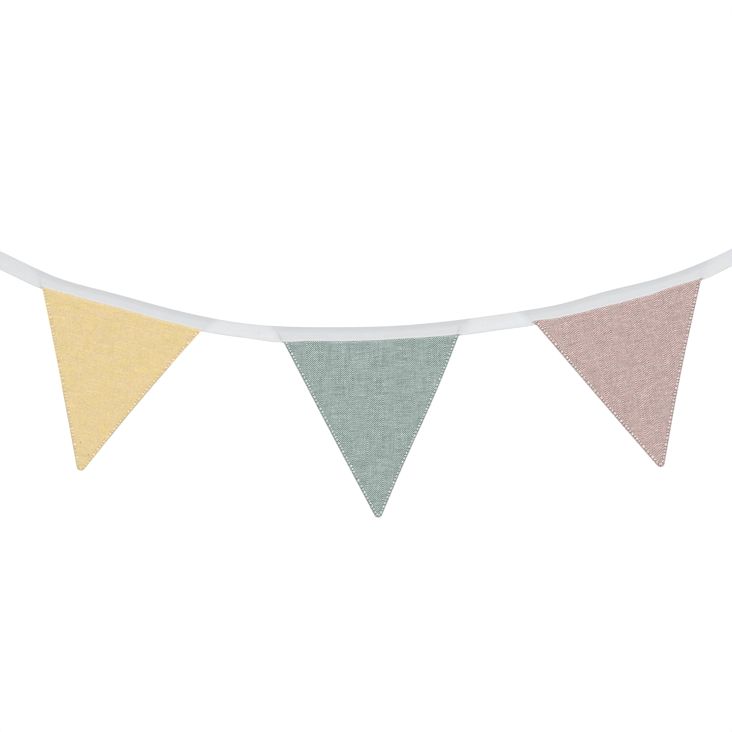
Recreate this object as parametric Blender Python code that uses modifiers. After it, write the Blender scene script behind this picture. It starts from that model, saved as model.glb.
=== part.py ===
"""Fabric bunting: three sewn pennants hung point down from a folded binding tape.

Metres, +Z up. X runs along the bunting and -Y is its front. The origin is the place where a pin
holds the left end of the tape, halfway down its width. Named sizes are in millimetres.
"""
import math
from collections import namedtuple

import bmesh
import bpy
import numpy as np

MM = 0.001

# Cloth
TAPE_CLOTH = 1.0
PENNANT_CLOTH = 1.0
CLEARANCE = 0.3

# The tape: one strip folded lengthwise over the pennants' top edges, its slot open at the bottom
TAPE_LEFT = -6.0
TAPE_RIGHT = 644.0
TAPE_STEP = 5.0
SLOT_RAMP = 8.0
SLOT_MARGIN = 2.0
NARROWING = 4.0
END_HEM = 12.0
FOLD_STEPS = 4
LEAF_STEPS = 2
HAIRPIN_STEPS = 8

# The fold line, seen from the front: its height, how far it stands back from the plane of the
# two pins, and how many degrees the face under it leans, lower edge forward
Station = namedtuple("Station", "x height back lean")
FOLD_LINE = (
    Station(-6.0, 10.3, 0.0, 0.0),
    Station(40.0, -12.3, 0.6, 1.0),
    Station(60.0, -21.1, 0.8, 1.5),
    Station(100.0, -32.6, 0.4, 2.0),
    Station(150.0, -46.2, -0.4, 1.5),
    Station(185.0, -54.4, -0.8, 0.0),
    Station(230.0, -61.1, -0.6, -2.0),
    Station(290.0, -63.0, 0.6, 0.5),
    Station(340.0, -62.0, 0.9, 1.5),
    Station(400.0, -56.4, 0.2, 0.0),
    Station(450.0, -49.3, -0.9, -2.0),
    Station(485.0, -42.6, -0.6, -0.5),
    Station(515.0, -34.0, 0.0, 1.0),
    Station(560.0, -22.8, 0.6, 1.5),
    Station(585.0, -14.5, 0.5, 1.0),
    Station(615.0, -1.7, 0.2, 0.5),
    Station(644.0, 13.0, 0.0, 0.0),
)

# Width of the folded tape at the left, the middle and the right of each free stretch. Its back leaf
# keeps that width behind the pennants.
FREE_WIDTHS = (
    (13.8, 13.8, 13.9),
    (12.4, 12.0, 13.4),
    (13.1, 12.9, 13.3),
    (14.0, 12.5, 12.0),
)

# A pennant is measured along its top, where it leaves the tape: the middle of that line, its tilt
# in degrees, its width, the length down to the point and how far the point sits to the right.
# A side bows outward, or sways outward above and inward below. Out of its plane the point swings
# forward, the sides cup forward, and a soft wave crosses the cloth. The tape's front leaf is
# narrower over the pennant, and its widths are given evenly from one corner to the other.
Pennant = namedtuple(
    "Pennant",
    "name x z tilt width length point_right left_bow right_bow right_sway "
    "point_forward cup_forward wave wave_turn front_widths colour",
)
PENNANTS = (
    Pennant("pennant_yellow", 114.5, -50.1, -15.1, 135.35, 136.6, 1.6, -0.6, -1.4, 0.0,
            5.0, 2.2, 1.0, 0.4, (11.7, 10.3, 10.8, 10.8, 10.9, 11.0, 11.5), (0.82, 0.64, 0.35)),
    Pennant("pennant_green", 323.1, -72.4, 2.6, 146.4, 149.5, -1.0, 0.2, 0.8, 0.7,
            -4.0, -2.4, 1.1, 1.9, (12.7, 11.5, 11.7, 11.4, 11.0, 11.6, 11.9), (0.35, 0.42, 0.40)),
    Pennant("pennant_pink", 528.65, -42.5, 14.4, 142.3, 141.5, 0.8, 0.2, -1.4, 0.0,
            3.5, 2.6, 1.0, 3.1, (9.7, 10.9, 11.7, 12.4, 11.7, 10.4, 11.8), (0.55, 0.41, 0.39)),
)
POINT_RADIUS = 3.5
TAB_BELOW_FOLD = 2.2
HANG_FREE = 25.0
PENNANT_COLUMNS = 14
PENNANT_ROWS = 18
POINT_STEPS = 4


def natural_spline(xs, values):
    """Return the natural cubic spline through the points, as a function of x."""
    xs = np.array(xs, float)
    values = np.array(values, float)
    gaps = np.diff(xs)
    slopes = np.diff(values) / gaps
    system = np.eye(len(xs))
    right = np.zeros(len(xs))
    for i in range(1, len(xs) - 1):
        system[i, i - 1:i + 2] = (gaps[i - 1], 2.0 * (gaps[i - 1] + gaps[i]), gaps[i])
        right[i] = 6.0 * (slopes[i] - slopes[i - 1])
    bends = np.linalg.solve(system, right)

    def value(x):
        i = int(np.clip(np.searchsorted(xs, x) - 1, 0, len(gaps) - 1))
        b = (x - xs[i]) / gaps[i]
        a = 1.0 - b
        bend = (a ** 3 - a) * bends[i] + (b ** 3 - b) * bends[i + 1]
        return float(a * values[i] + b * values[i + 1] + gaps[i] ** 2 * bend / 6.0)

    return value


STATION_X = [station.x for station in FOLD_LINE]
fold_height = natural_spline(STATION_X, [station.height for station in FOLD_LINE])
fold_back = natural_spline(STATION_X, [station.back for station in FOLD_LINE])
fold_lean = natural_spline(STATION_X, [station.lean for station in FOLD_LINE])


def smooth_step(start, end, x):
    """Rise smoothly from 0 at start to 1 at end."""
    t = min(1.0, max(0.0, (x - start) / (end - start)))
    return t * t * (3.0 - 2.0 * t)


def slope(curve, x):
    """Rise of a curve for each millimetre along x."""
    return curve(x + 0.5) - curve(x - 0.5)


def fold_angle(x):
    """Angle of the fold line above the horizontal, in the front view."""
    return math.atan(slope(fold_height, x))


def place_on_tape(x, z):
    """Return the x of the fold line square above a point, and the point's distance below it."""
    foot = x
    for _ in range(6):
        angle = fold_angle(foot)
        below = (x - foot) * math.sin(angle) - (z - fold_height(foot)) * math.cos(angle)
        foot = x - below * math.sin(angle)
    return foot, below


def outline_angle(pennant):
    """Half of the angle at the point, between the two straight sides."""
    to_centre = pennant.length - POINT_RADIUS
    half = pennant.width / 2.0
    return math.atan2(half, to_centre) - math.asin(POINT_RADIUS / math.hypot(half, to_centre))


def half_width(pennant, v):
    """Half of the pennant's width at a distance v below its top line, round at the point."""
    angle = outline_angle(pennant)
    centre = pennant.length - POINT_RADIUS
    if v > centre + POINT_RADIUS * math.sin(angle):
        return math.sqrt(max(0.0, POINT_RADIUS ** 2 - (v - centre) ** 2))
    return pennant.width / 2.0 - v * math.tan(angle)


def outline_u(pennant, side, v):
    """Place across the pennant of a line of the cloth, side -1 its left edge and 1 its right."""
    part = min(1.0, max(0.0, v / (pennant.length - POINT_RADIUS)))
    bow = math.sin(math.pi * part)
    sway = math.sin(2.0 * math.pi * part)
    left = -pennant.left_bow * bow
    right = pennant.right_bow * bow + pennant.right_sway * sway
    middle = pennant.point_right * v / pennant.length
    share = (side + 1.0) / 2.0
    return middle + side * half_width(pennant, v) + left * (1.0 - share) + right * share


def front_view(pennant, u, v):
    """World x and z of a place on the pennant, in millimetres."""
    tilt = math.radians(pennant.tilt)
    x = pennant.x + u * math.cos(tilt) + v * math.sin(tilt)
    z = pennant.z + u * math.sin(tilt) - v * math.cos(tilt)
    return x, z


def tab_top(pennant, side):
    """Distance v at which a line of the cloth ends inside the tape's fold, negative upward."""
    v = -8.0
    for _ in range(8):
        x, z = front_view(pennant, outline_u(pennant, side, v), v)
        v += TAB_BELOW_FOLD - place_on_tape(x, z)[1]
    return v


def slot_depth(pennant, u, v):
    """World y of the middle of the tape's slot at a place on the pennant."""
    foot, below = place_on_tape(*front_view(pennant, u, v))
    return fold_back(foot) - below * math.tan(math.radians(fold_lean(foot)))


def pennant_depth(pennant, u, v):
    """World y of a place on the pennant: in the tape's slot, and hanging free below it."""
    free = smooth_step(0.0, HANG_FREE, v)
    if free == 0.0:
        return slot_depth(pennant, u, v)
    down = v / pennant.length
    across = 2.0 * u / pennant.width
    hung = slot_depth(pennant, u, 0.0) * (1.0 - down) + slot_depth(pennant, 0.0, 0.0) * down
    forward = pennant.point_forward * down ** 2 + pennant.cup_forward * across ** 2
    forward += pennant.wave * math.sin(2.6 * across + 3.4 * down + pennant.wave_turn)
    return slot_depth(pennant, u, v) * (1.0 - free) + (hung - forward) * free


def tape_reach(pennant):
    """The stretch of the fold line over the pennant's top edge, from its left to its right."""
    ends = []
    for side in (-1.0, 1.0):
        v = tab_top(pennant, side)
        ends.append(place_on_tape(*front_view(pennant, outline_u(pennant, side, v), v))[0])
    return ends


REACHES = [tape_reach(pennant) for pennant in PENNANTS]


def slot_half(x):
    """Half of the slot between the tape's two leaves: open over a pennant, nearly shut between."""
    shut = CLEARANCE / 2.0
    opened = PENNANT_CLOTH / 2.0 + CLEARANCE
    cover = 0.0
    for left, right in REACHES:
        start = left - SLOT_MARGIN
        end = right + SLOT_MARGIN
        rise = smooth_step(start - SLOT_RAMP, start, x)
        cover += rise * (1.0 - smooth_step(end, end + SLOT_RAMP, x))
    return shut + (opened - shut) * cover


def pennant_corner(pennant, side):
    """The x at which a side of the pennant comes out from under the front leaf."""
    width = pennant.front_widths[0 if side < 0.0 else -1]
    v = 0.0
    for _ in range(8):
        x, z = front_view(pennant, outline_u(pennant, side, v), v)
        foot, below = place_on_tape(x, z)
        v += width - below
    return foot


def width_knots(front):
    """Places along the tape where the width of its front or back leaf is set."""
    knots = [(TAPE_LEFT, FREE_WIDTHS[0][0])]
    for i, pennant in enumerate(PENNANTS):
        left = pennant_corner(pennant, -1.0)
        right = pennant_corner(pennant, 1.0)
        knots.append(((knots[-1][0] + left) / 2.0, FREE_WIDTHS[i][1]))
        knots.append((left - NARROWING, FREE_WIDTHS[i][2]))
        if front:
            gaps = len(pennant.front_widths) - 1
            for j, width in enumerate(pennant.front_widths):
                knots.append((left + (right - left) * j / gaps, width))
        knots.append((right + NARROWING, FREE_WIDTHS[i + 1][0]))
    knots.append(((knots[-1][0] + TAPE_RIGHT) / 2.0, FREE_WIDTHS[-1][1]))
    knots.append((TAPE_RIGHT, FREE_WIDTHS[-1][2]))
    return knots


FRONT_KNOTS = width_knots(True)
BACK_KNOTS = width_knots(False)


def leaf_width(knots, x):
    """Width of one leaf of the folded tape."""
    width = knots[0][1]
    for (start, before), (end, after) in zip(knots, knots[1:]):
        width += (after - before) * smooth_step(start, end, x)
    return width


# A frame of the tape: the place on the fold line, and the directions along the tape, to its
# front and down across its width, with the x that its width and slot are read at
Frame = namedtuple("Frame", "place along front down x")


def hanging_frame(x):
    """The tape's frame at x, where it hangs."""
    along = np.array((1.0, slope(fold_back, x), slope(fold_height, x)))
    along /= np.linalg.norm(along)
    down = np.array((along[2], 0.0, -along[0]))
    down /= np.linalg.norm(down)
    front = np.cross(down, along)
    lean = math.radians(fold_lean(x))
    leaned_down = down * math.cos(lean) + front * math.sin(lean)
    leaned_front = front * math.cos(lean) - down * math.sin(lean)
    place = np.array((x, fold_back(x), fold_height(x)))
    return Frame(place, along, leaned_front, leaned_down, x)


def turned_hem(end, outward):
    """Frames of an end of the tape turned back behind it, outward -1 at its left and 1 at its right."""
    radius = TAPE_CLOTH + CLEARANCE
    frames = []
    for i in range(1, HAIRPIN_STEPS + 1):
        turn = math.pi * i / HAIRPIN_STEPS
        place = end.place + end.along * (outward * radius * math.sin(turn))
        place = place - end.front * (radius * (1.0 - math.cos(turn)))
        along = end.along * math.cos(turn) - end.front * (outward * math.sin(turn))
        front = end.front * math.cos(turn) + end.along * (outward * math.sin(turn))
        frames.append(Frame(place, along, front, end.down, end.x))
    last = frames[-1]
    for part in (0.5, 1.0):
        place = last.place - end.along * (outward * END_HEM * part)
        frames.append(Frame(place, last.along, last.front, last.down, end.x))
    return frames


def tape_frames():
    """Frames from the raw end of the left hem to the raw end of the right one."""
    count = round((TAPE_RIGHT - TAPE_LEFT) / TAPE_STEP)
    hanging = []
    for i in range(count + 1):
        hanging.append(hanging_frame(TAPE_LEFT + (TAPE_RIGHT - TAPE_LEFT) * i / count))
    left = turned_hem(hanging[0], -1.0)
    right = turned_hem(hanging[-1], 1.0)
    return left[::-1] + hanging + right


def tape_section(x):
    """Middle of the tape's cloth across its width, as (to the front, down) from the fold line."""
    middle = slot_half(x) + TAPE_CLOTH / 2.0
    crown = TAPE_CLOTH / 2.0 + middle
    front_leaf = leaf_width(FRONT_KNOTS, x) - crown
    back_leaf = leaf_width(BACK_KNOTS, x) - crown
    parts = [(i + 1.0) / LEAF_STEPS for i in range(LEAF_STEPS)]
    section = [(middle, crown + front_leaf * part) for part in reversed(parts)]
    for i in range(FOLD_STEPS + 1):
        turn = math.pi * i / FOLD_STEPS
        section.append((middle * math.cos(turn), crown - middle * math.sin(turn)))
    section += [(-middle, crown + back_leaf * part) for part in parts]
    return section


def grid_mesh(name, rows, last_point=None):
    """An open sheet of quads through rows of points, closed to one point at its end if given."""
    mesh = bpy.data.meshes.new(name)
    sheet = bmesh.new()
    lines = [[sheet.verts.new(point) for point in row] for row in rows]
    for upper, lower in zip(lines, lines[1:]):
        for i in range(len(upper) - 1):
            sheet.faces.new((upper[i], lower[i], lower[i + 1], upper[i + 1]))
    if last_point is not None:
        tip = sheet.verts.new(last_point)
        for a, b in zip(lines[-1], lines[-1][1:]):
            sheet.faces.new((a, tip, b))
    sheet.to_mesh(mesh)
    sheet.free()
    mesh.shade_smooth()
    return mesh


def tape_mesh():
    """The tape's cloth, swept along its fold line from hem to hem."""
    rows = []
    for frame in tape_frames():
        row = []
        for to_front, down in tape_section(frame.x):
            row.append((frame.place + frame.front * to_front + frame.down * down) * MM)
        rows.append(row)
    return grid_mesh("binding_tape", rows)


def row_parts(pennant):
    """Distances down the pennant's middle, as parts of its length, closer together at the point."""
    angle = outline_angle(pennant)
    straight = pennant.length - POINT_RADIUS * (1.0 - math.sin(angle))
    parts = [straight * i / PENNANT_ROWS for i in range(PENNANT_ROWS + 1)]
    for i in range(1, POINT_STEPS):
        turn = angle + (math.pi / 2.0 - angle) * i / POINT_STEPS
        parts.append(pennant.length - POINT_RADIUS * (1.0 - math.sin(turn)))
    return [part / pennant.length for part in parts]


def pennant_mesh(pennant):
    """The pennant's cloth, in its own axes: across in X, back in Y and up in Z."""
    sides = [2.0 * i / PENNANT_COLUMNS - 1.0 for i in range(PENNANT_COLUMNS + 1)]
    tops = [tab_top(pennant, side) for side in sides]
    rows = []
    for part in row_parts(pennant):
        row = []
        for side, top in zip(sides, tops):
            v = top + (pennant.length - top) * part
            u = outline_u(pennant, side, v)
            row.append((u * MM, pennant_depth(pennant, u, v) * MM, -v * MM))
        rows.append(row)
    v = pennant.length
    u = outline_u(pennant, 0.0, v)
    return grid_mesh(pennant.name, rows, (u * MM, pennant_depth(pennant, u, v) * MM, -v * MM))


def cotton(name, colour):
    """Matt cotton of one colour."""
    material = bpy.data.materials.new(name)
    material.use_nodes = True
    shader = material.node_tree.nodes["Principled BSDF"]
    shader.inputs["Base Color"].default_value = (*colour, 1.0)
    shader.inputs["Roughness"].default_value = 0.9
    shader.inputs["Metallic"].default_value = 0.0
    return material


def cloth_object(collection, mesh, thickness, colour):
    """Put a sheet in the collection, as thick as its cloth."""
    piece = bpy.data.objects.new(mesh.name, mesh)
    mesh.materials.append(cotton(mesh.name, colour))
    collection.objects.link(piece)
    solidify = piece.modifiers.new("cloth", "SOLIDIFY")
    solidify.thickness = thickness * MM
    solidify.offset = 0.0
    solidify.use_even_offset = True
    return piece


def build():
    for old in list(bpy.data.objects):
        bpy.data.objects.remove(old, do_unlink=True)
    collection = bpy.data.collections.new("fabric_bunting")
    bpy.context.scene.collection.children.link(collection)
    cloth_object(collection, tape_mesh(), TAPE_CLOTH, (0.76, 0.78, 0.80))
    for pennant in PENNANTS:
        piece = cloth_object(collection, pennant_mesh(pennant), PENNANT_CLOTH, pennant.colour)
        piece.location = (pennant.x * MM, 0.0, pennant.z * MM)
        piece.rotation_euler = (0.0, -math.radians(pennant.tilt), 0.0)


build()
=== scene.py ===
import math
from collections import namedtuple

import bpy
import numpy as np
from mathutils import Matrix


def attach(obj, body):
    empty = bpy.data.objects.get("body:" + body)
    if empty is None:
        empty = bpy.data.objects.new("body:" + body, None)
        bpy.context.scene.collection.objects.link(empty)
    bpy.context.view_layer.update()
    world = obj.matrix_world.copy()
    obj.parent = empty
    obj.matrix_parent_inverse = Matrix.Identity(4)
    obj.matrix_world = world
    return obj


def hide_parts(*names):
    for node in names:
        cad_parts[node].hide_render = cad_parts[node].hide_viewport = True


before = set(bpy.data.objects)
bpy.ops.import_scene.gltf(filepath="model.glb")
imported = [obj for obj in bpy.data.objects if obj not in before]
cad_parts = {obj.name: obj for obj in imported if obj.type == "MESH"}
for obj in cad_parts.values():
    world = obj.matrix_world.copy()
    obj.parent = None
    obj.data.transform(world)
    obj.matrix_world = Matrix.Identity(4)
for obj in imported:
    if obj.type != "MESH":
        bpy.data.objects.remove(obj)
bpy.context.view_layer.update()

MM = 0.001

# The fold line and the pennants' outlines, as in the solids. Here the tape narrows more sharply beside
# a pennant, its right end is fitted more closely, and the pennants' tops end a little lower in it.
TAPE_LEFT = -6.0
TAPE_RIGHT = 644.0
NARROWING = 2.5
END_HEM = 12.0
POINT_RADIUS = 3.5
TAB_BELOW_FOLD = 3.7
HANG_FREE = 25.0
Station = namedtuple("Station", "x height back lean")
FOLD_LINE = (
    Station(-6.0, 10.3, 0.0, 0.0),
    Station(40.0, -12.3, 0.6, 1.0),
    Station(60.0, -21.1, 0.8, 1.5),
    Station(100.0, -32.6, 0.4, 2.0),
    Station(150.0, -46.2, -0.4, 1.5),
    Station(185.0, -54.4, -0.8, 0.0),
    Station(230.0, -61.1, -0.6, -2.0),
    Station(290.0, -63.0, 0.6, 0.5),
    Station(340.0, -62.0, 0.9, 1.5),
    Station(400.0, -56.4, 0.2, 0.0),
    Station(450.0, -49.3, -0.9, -2.0),
    Station(485.0, -42.6, -0.6, -0.5),
    Station(515.0, -34.0, 0.0, 1.0),
    Station(560.0, -22.8, 0.6, 1.5),
    Station(585.0, -14.5, 0.5, 1.0),
    Station(615.0, -1.7, 0.2, 0.5),
    Station(644.0, 13.0, 0.0, 0.0),
)

# Width of the folded tape at the left, the middle and the right of each free stretch
FREE_WIDTHS = (
    (13.8, 13.8, 13.9),
    (12.4, 12.0, 13.4),
    (13.1, 12.9, 13.3),
    (13.8, 12.9, 12.6),
)

# A pennant is measured along its top, where it leaves the tape, and down to its point. Its sides bow
# outward or sway. Out of its plane the point swings forward, the sides cup and a wave crosses it.
# The front leaf's widths over it run from corner to corner, and pitch is the length of a stitch.
Pennant = namedtuple(
    "Pennant",
    "name x z tilt width length point_right left_bow right_bow right_sway "
    "point_forward cup_forward wave wave_turn front_widths pitch",
)
PENNANTS = (
    Pennant("yellow", 114.5, -50.1, -15.1, 135.35, 136.6, 1.6, -0.6, -1.4, 0.0,
            5.0, 2.2, 1.0, 0.4, (11.7, 10.3, 10.8, 10.8, 10.9, 11.0, 11.5), 2.70),
    Pennant("green", 323.1, -72.4, 2.6, 146.4, 149.5, -1.0, 0.2, 0.8, 0.7,
            -4.0, -2.4, 1.1, 1.9, (12.7, 11.5, 11.7, 11.4, 11.0, 11.6, 11.9), 2.70),
    Pennant("pink", 528.65, -42.5, 14.4, 142.3, 141.5, 0.8, 0.2, -1.4, 0.0,
            3.5, 2.6, 1.0, 3.1, (9.7, 10.9, 11.7, 12.4, 11.7, 10.4, 11.8), 2.81),
)

# The dressed pennant: two layers of cloth turned out and topstitched along both sides
CLOTH_HALF = 0.44
SEAM_HALF = 0.58
SEAM_WIDTH = 6.3
RIM = 0.65
ROWS = 250
INNER_COLUMNS = 30
NEAR_EDGE = (0.0, 0.1, 0.24, 0.42, 0.65, 0.95, 1.25, 1.5, 1.75, 2.0, 2.35, 2.9, 3.8, 5.0, 5.9, 6.9)
POINT_STEPS = 14

# The dressed tape: two leaves of a folded cotton strip
LEAF_HALF = 0.26
FOLD_RADIUS = 0.3
FOLD_STEPS = 6
GAP_FREE = 0.12
SLACK = 0.07
TAPE_STEP = 1.2
FINE_STEP = 0.4
HEM_RADIUS = 1.1
HEM_STEPS = 14
UPPER_STATIONS = (0.0, 0.03, 0.07, 0.12, 0.19, 0.27, 0.36, 0.46, 0.57, 0.68, 0.79, 0.9)
LOWER_STATIONS = (2.6, 2.0, 1.7, 1.45, 1.2, 0.95, 0.7, 0.45, 0.3, 0.2, 0.1, 0.03, 0.0)

# Machine stitches: their line inside the edge, the needle holes beside it, and the thread
PENNANT_SEAM = 1.75
HOLE_INSET = 1.6
TAPE_SEAM = 1.15
TAPE_PITCH = 2.6
HOLE_TURNS = (math.radians(-27.0), math.radians(4.0))
HOLE_LONG = 1.05
HOLE_SHORT = 0.46
UNEVEN = 0.26
STITCH_SLANTS = (-0.26, 0.03)
STITCH_INWARDS = (0.18, -0.05)
STITCH_WIDTHS = (1.4, 1.15)
STITCH_GAP = 0.16
STITCH_HEIGHT = 0.5
STITCH_TONES = 0.14
TAPE_STITCH_GAP = 0.12
TAPE_STITCH_SLANT = 0.10
TAPE_STITCH_WIDTH = 0.7
TAPE_STITCH_HEIGHT = 0.42
HEM_SEAM = 3.0
HEM_PITCH = 2.2
HEM_STITCH_GAP = 0.14
THREAD_ROUND = 8
HOLE_SEED = 5
TONE_SEED = 6

# How much paler each pennant is just below the tape
# painted light: the strip of cloth just below the tape is painted paler, against the shade that falls there
PAINTED_LIGHT_BELOW_TAPE = 0.13

# Flecks in the cloth and pin holes in the tape: the square of their radius, and the tone at the middle
FLECK_REACH, FLECK_TONE = 0.45, 0.35
PIN_REACH, PIN_TONE = 0.30, 0.62


def natural_spline(xs, values):
    """Return the natural cubic spline through the points, as a function of x."""
    xs = np.array(xs, float)
    values = np.array(values, float)
    gaps = np.diff(xs)
    slopes = np.diff(values) / gaps
    system = np.eye(len(xs))
    right = np.zeros(len(xs))
    for i in range(1, len(xs) - 1):
        system[i, i - 1:i + 2] = (gaps[i - 1], 2.0 * (gaps[i - 1] + gaps[i]), gaps[i])
        right[i] = 6.0 * (slopes[i] - slopes[i - 1])
    bends = np.linalg.solve(system, right)

    def value(x):
        x = np.asarray(x, float)
        i = np.clip(np.searchsorted(xs, x) - 1, 0, len(gaps) - 1)
        b = (x - xs[i]) / gaps[i]
        a = 1.0 - b
        bend = (a ** 3 - a) * bends[i] + (b ** 3 - b) * bends[i + 1]
        return a * values[i] + b * values[i + 1] + gaps[i] ** 2 * bend / 6.0

    return value


STATION_X = [station.x for station in FOLD_LINE]
fold_height = natural_spline(STATION_X, [station.height for station in FOLD_LINE])
fold_back = natural_spline(STATION_X, [station.back for station in FOLD_LINE])
fold_lean = natural_spline(STATION_X, [station.lean for station in FOLD_LINE])


def smooth_step(start, end, x):
    """Rise smoothly from 0 at start to 1 at end."""
    t = np.clip((x - start) / (end - start), 0.0, 1.0)
    return t * t * (3.0 - 2.0 * t)


def bump(x, middle, width):
    """A soft bump of height 1 at middle."""
    return np.exp(-((x - middle) / width) ** 2)


def slope(curve, x):
    return curve(x + 0.5) - curve(x - 0.5)


def place_on_tape(x, z):
    """Return the x of the fold line square above a point, and the point's distance below it."""
    foot = x
    for _ in range(6):
        angle = np.arctan(slope(fold_height, foot))
        below = (x - foot) * np.sin(angle) - (z - fold_height(foot)) * np.cos(angle)
        foot = x - below * np.sin(angle)
    return foot, below


def outline_angle(pennant):
    to_centre = pennant.length - POINT_RADIUS
    half = pennant.width / 2.0
    return math.atan2(half, to_centre) - math.asin(POINT_RADIUS / math.hypot(half, to_centre))


def half_width(pennant, v):
    angle = outline_angle(pennant)
    centre = pennant.length - POINT_RADIUS
    straight = pennant.width / 2.0 - v * math.tan(angle)
    arc = np.sqrt(np.maximum(0.0, POINT_RADIUS ** 2 - (v - centre) ** 2))
    return np.where(v > centre + POINT_RADIUS * math.sin(angle), arc, straight)


def side_shifts(pennant, v):
    """How far the middle line, the left side and the right side stand to the right at v."""
    part = np.clip(v / (pennant.length - POINT_RADIUS), 0.0, 1.0)
    bow = np.sin(math.pi * part)
    left = -pennant.left_bow * bow
    right = pennant.right_bow * bow + pennant.right_sway * np.sin(2.0 * math.pi * part)
    return pennant.point_right * v / pennant.length, left, right


def sides(pennant, v):
    """The u of the pennant's left and right edges at v."""
    middle, left, right = side_shifts(pennant, v)
    half = half_width(pennant, v)
    return middle - half + left, middle + half + right


def edge_distance(pennant, u, v):
    """Distance of a place on the pennant from its sides and point, negative outside."""
    angle = outline_angle(pennant)
    middle, left, right = side_shifts(pennant, v)
    across = u - middle
    down = v - (pennant.length - POINT_RADIUS)
    from_right = POINT_RADIUS - (across - right) * math.cos(angle) - down * math.sin(angle)
    from_left = POINT_RADIUS - (left - across) * math.cos(angle) - down * math.sin(angle)
    from_point = POINT_RADIUS - np.hypot(across, down)
    at_point = down * math.cos(angle) > np.abs(across) * math.sin(angle)
    return np.where(at_point, from_point, np.minimum(from_left, from_right))


def front_view(pennant, u, v):
    tilt = math.radians(pennant.tilt)
    x = pennant.x + u * math.cos(tilt) + v * math.sin(tilt)
    z = pennant.z + u * math.sin(tilt) - v * math.cos(tilt)
    return x, z


def slot_depth(pennant, u, v):
    foot, below = place_on_tape(*front_view(pennant, u, v))
    return fold_back(foot) - below * np.tan(np.radians(fold_lean(foot)))


def pennant_depth(pennant, u, v):
    """World y of the middle of the cloth: in the tape's slot, and hanging free below it."""
    free = smooth_step(0.0, HANG_FREE, v)
    down = v / pennant.length
    across = 2.0 * u / pennant.width
    hung = slot_depth(pennant, u, 0.0) * (1.0 - down) + slot_depth(pennant, 0.0, 0.0) * down
    forward = pennant.point_forward * down ** 2 + pennant.cup_forward * across ** 2
    forward = forward + pennant.wave * np.sin(2.6 * across + 3.4 * down + pennant.wave_turn)
    ripple = 0.10 * np.sin(u / 5.1 + 0.6 * np.sin(v / 17.0)) + 0.07 * np.sin(v / 7.3 + u / 13.0)
    return slot_depth(pennant, u, v) * (1.0 - free) + (hung - forward + ripple) * free


def pennant_corner(pennant, side):
    """The x at which a side of the pennant comes out from under the front leaf."""
    width = pennant.front_widths[0 if side < 0.0 else -1]
    v = 0.0
    for _ in range(8):
        u = sides(pennant, np.array(v))[0 if side < 0.0 else 1]
        foot, below = place_on_tape(*front_view(pennant, u, v))
        v += width - below
    return float(foot)


def width_knots(front):
    """Places along the tape where the width of its front or back leaf is set."""
    knots = [(TAPE_LEFT, FREE_WIDTHS[0][0])]
    for i, pennant in enumerate(PENNANTS):
        left = pennant_corner(pennant, -1.0)
        right = pennant_corner(pennant, 1.0)
        knots.append(((knots[-1][0] + left) / 2.0, FREE_WIDTHS[i][1]))
        knots.append((left - NARROWING, FREE_WIDTHS[i][2]))
        if front:
            gaps = len(pennant.front_widths) - 1
            for j, width in enumerate(pennant.front_widths):
                knots.append((left + (right - left) * j / gaps, width))
        knots.append((right + NARROWING, FREE_WIDTHS[i + 1][0]))
    knots.append(((knots[-1][0] + TAPE_RIGHT) / 2.0, FREE_WIDTHS[-1][1]))
    knots.append((TAPE_RIGHT, FREE_WIDTHS[-1][2]))
    return knots


# Two places where a pin has pricked the front leaf: x, and the distance below the fold line
PIN_HOLES = ((229.8, 7.1), (414.8, 7.5))

# Thin painted shadow lines along the rim: at the left or not, from v to v, and how dark. Dark flecks at (u,
# v).
RIM_SHADOW_LINES = {
    "yellow": ((True, 78.0, 134.0, 0.5), (False, 36.0, 100.0, 0.5), (False, 100.0, 134.0, 0.3)),
    "green": (),
    "pink": (),
}
FLECKS = {"yellow": ((-3.9, 113.9), (5.0, 122.1)), "green": (), "pink": ((32.4, 54.5),)}

# The painted shade in the crease that each side of a pennant presses into the tape: how dark, and how far
# inside the side
CREASE_SHADES = (((0.05, -0.6), (0.0, 0.0)), ((0.15, -0.7), (0.15, 1.9)), ((0.0, 0.0), (0.05, 2.4)))
CORNERS = [[pennant_corner(pennant, side) for side in (-1.0, 1.0)] for pennant in PENNANTS]
FRONT_KNOTS = width_knots(True)
BACK_KNOTS = width_knots(False)


def leaf_width(knots, x):
    """Width of one leaf of the folded tape."""
    width = np.full(np.shape(x), knots[0][1])
    for (start, before), (end, after) in zip(knots, knots[1:]):
        width = width + (after - before) * smooth_step(start, end, x)
    return width


def unit(vectors):
    return vectors / np.linalg.norm(vectors, axis=-1, keepdims=True)


def hanging_frames(x):
    """Place on the fold line and directions along the tape, to its front and down it, at each x."""
    ones = np.ones_like(x)
    along = unit(np.stack((ones, slope(fold_back, x), slope(fold_height, x)), -1))
    down = unit(np.stack((along[..., 2], 0.0 * ones, -along[..., 0]), -1))
    front = np.cross(down, along)
    lean = np.radians(fold_lean(x))[..., None]
    place = np.stack((x, fold_back(x), fold_height(x)), -1)
    leaned_down = down * np.cos(lean) + front * np.sin(lean)
    leaned_front = front * np.cos(lean) - down * np.sin(lean)
    return place, along, leaned_front, leaned_down


def tab_edge(place, down_way, below):
    """How far inside the nearest pennant's tab a place in the tape lies, negative outside."""
    x = place[..., 0] + down_way[..., 0] * below
    z = place[..., 2] + down_way[..., 2] * below
    edge = np.full(np.shape(x), -50.0)
    for pennant in PENNANTS:
        tilt = math.radians(pennant.tilt)
        u = (x - pennant.x) * math.cos(tilt) + (z - pennant.z) * math.sin(tilt)
        v = (x - pennant.x) * math.sin(tilt) - (z - pennant.z) * math.cos(tilt)
        inside = np.where(np.abs(v) < 40.0, edge_distance(pennant, u, v), -50.0)
        edge = np.maximum(edge, inside)
    return edge


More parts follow.
